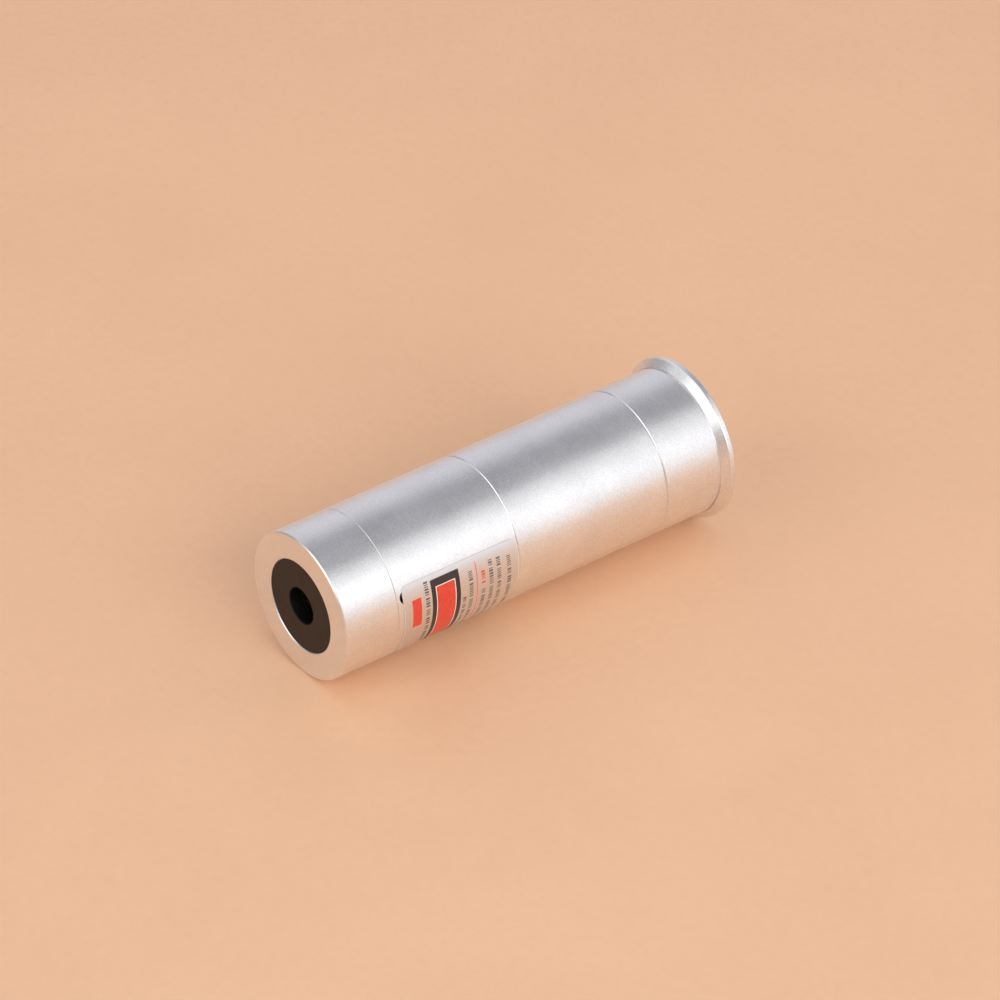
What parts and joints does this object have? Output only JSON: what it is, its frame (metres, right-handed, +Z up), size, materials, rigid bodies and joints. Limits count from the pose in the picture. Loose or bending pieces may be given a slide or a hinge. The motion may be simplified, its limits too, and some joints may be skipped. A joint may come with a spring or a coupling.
{
  "type": "laser collimator",
  "caption": "Cylindrical laser collimator shaped like a rimmed cartridge: satin aluminium shells, a central beam opening, radial aim screws and a screw-off tail cap.",
  "frame": {"origin": "centre of the flat base behind the rim, on the long axis", "axes": "-Y is the way the beam leaves and +Y is out of the base, along the long axis; +Z is up as the object lies on a table"},
  "size_m": [0.0226, 0.0624, 0.0224],
  "materials": {
    "satin_aluminium": "bead-blasted satin, clear anodised",
    "black_disc": "matt",
    "label": "thin satin film with printed artwork",
    "black_rubber": "matt",
    "black_steel": "black oxide",
    "brass": "turned",
    "lens_glass": "polished",
    "spring_steel": "drawn wire, nickel plated",
    "gilt_can": "gilt",
    "circuit_board": "green solder mask",
    "chip_black": "moulded",
    "capacitor_ceramic": "fired",
    "insulator_plastic": "moulded",
    "cell_steel": "nickel plated steel",
    "cell_gasket": "moulded nylon",
    "cell_filling": "pressed powder"
  },
  "bodies": {
    "root": {"bezel": "satin_aluminium", "aperture_disc": "black_disc", "front_barrel": "satin_aluminium", "battery_barrel": "satin_aluminium", "label_film": "label", "battery_sleeve": "insulator_plastic"},
    "pivot_seal": {"pivot_o_ring": "black_rubber"},
    "laser_module": {"module_housing": "brass", "lens_retainer": "black_steel", "collimating_lens": "lens_glass", "lens_spring": "spring_steel", "diode_ring": "brass", "laser_diode": "gilt_can", "diode_window": "lens_glass", "diode_pins": "gilt_can", "driver_board": "circuit_board", "driver_chip": "chip_black", "driver_capacitor": "capacitor_ceramic", "driver_resistors": "chip_black", "module_insulator": "insulator_plastic", "front_contact_spring": "spring_steel"},
    "aim_screw_1": {"aim_screw_1": "black_steel"},
    "aim_screw_2": {"aim_screw_2": "black_steel"},
    "aim_screw_3": {"aim_screw_3": "black_steel"},
    "cell_1": {"cell_1_can": "cell_steel", "cell_1_gasket": "cell_gasket", "cell_1_cap": "cell_steel", "cell_1_pack": "cell_filling"},
    "cell_2": {"cell_2_can": "cell_steel", "cell_2_gasket": "cell_gasket", "cell_2_cap": "cell_steel", "cell_2_pack": "cell_filling"},
    "cell_3": {"cell_3_can": "cell_steel", "cell_3_gasket": "cell_gasket", "cell_3_cap": "cell_steel", "cell_3_pack": "cell_filling"},
    "tail_contact": {"tail_spring": "spring_steel"},
    "tail_cap": {"tail_cap": "satin_aluminium", "tail_o_ring": "black_rubber", "tail_contact_plate": "brass"}
  },
  "joints": [
    {"name": "tail_cap_travel", "type": "slide", "parent": "root", "child": "tail_contact", "axis": [0, 1, 0], "range_m": [0, 0.03005]},
    {"name": "tail_cap_turn", "type": "hinge", "parent": "tail_contact", "child": "tail_cap", "pos_m": [0, 0, 0], "axis": [0, 1, 0], "range_deg": [0, 10800]},
    {"name": "cell_1_slide", "type": "slide", "parent": "root", "child": "cell_1", "axis": [0, 1, 0], "range_m": [0, 0.00755]},
    {"name": "cell_2_slide", "type": "slide", "parent": "root", "child": "cell_2", "axis": [0, 1, 0], "range_m": [0, 0.01505]},
    {"name": "cell_3_slide", "type": "slide", "parent": "root", "child": "cell_3", "axis": [0, 1, 0], "range_m": [0, 0.02255]},
    {"name": "module_tilt_1", "type": "hinge", "parent": "root", "child": "pivot_seal", "pos_m": [0, -0.0441, 0], "axis": [-0.2756, 0, 0.9613], "range_deg": [-1, 1]},
    {"name": "module_tilt_2", "type": "hinge", "parent": "pivot_seal", "child": "laser_module", "pos_m": [0, -0.0441, 0], "axis": [0.9613, 0, 0.2756], "range_deg": [-1, 1]},
    {"name": "aim_screw_1_turn", "type": "hinge", "parent": "root", "child": "aim_screw_1", "pos_m": [0, -0.05275, 0], "axis": [0.9613, 0, 0.2756], "range_deg": [-136.4, 136.4]},
    {"name": "aim_screw_2_turn", "type": "hinge", "parent": "root", "child": "aim_screw_2", "pos_m": [0, -0.05275, 0], "axis": [-0.2419, 0, -0.9703], "range_deg": [-118.2, 118.2]},
    {"name": "aim_screw_3_turn", "type": "hinge", "parent": "root", "child": "aim_screw_3", "pos_m": [0, -0.05275, 0], "axis": [-0.7193, 0, 0.6947], "range_deg": [-118.2, 118.2]}
  ],
  "couplings": [
    {"joint": "tail_cap_travel", "follows": "tail_cap_turn", "m_per_rad": 0.00015915},
    {"joint": "cell_1_slide", "follows": "tail_cap_turn", "m_per_rad": 0.000039789},
    {"joint": "cell_2_slide", "follows": "tail_cap_turn", "m_per_rad": 0.000079577},
    {"joint": "cell_3_slide", "follows": "tail_cap_turn", "m_per_rad": 0.00011937},
    {"joint": "aim_screw_1_turn", "follows": "module_tilt_1", "ratio": 135.87},
    {"joint": "aim_screw_2_turn", "follows": "module_tilt_2", "ratio": 117.67},
    {"joint": "aim_screw_3_turn", "follows": "module_tilt_2", "ratio": -117.67}
  ]
}
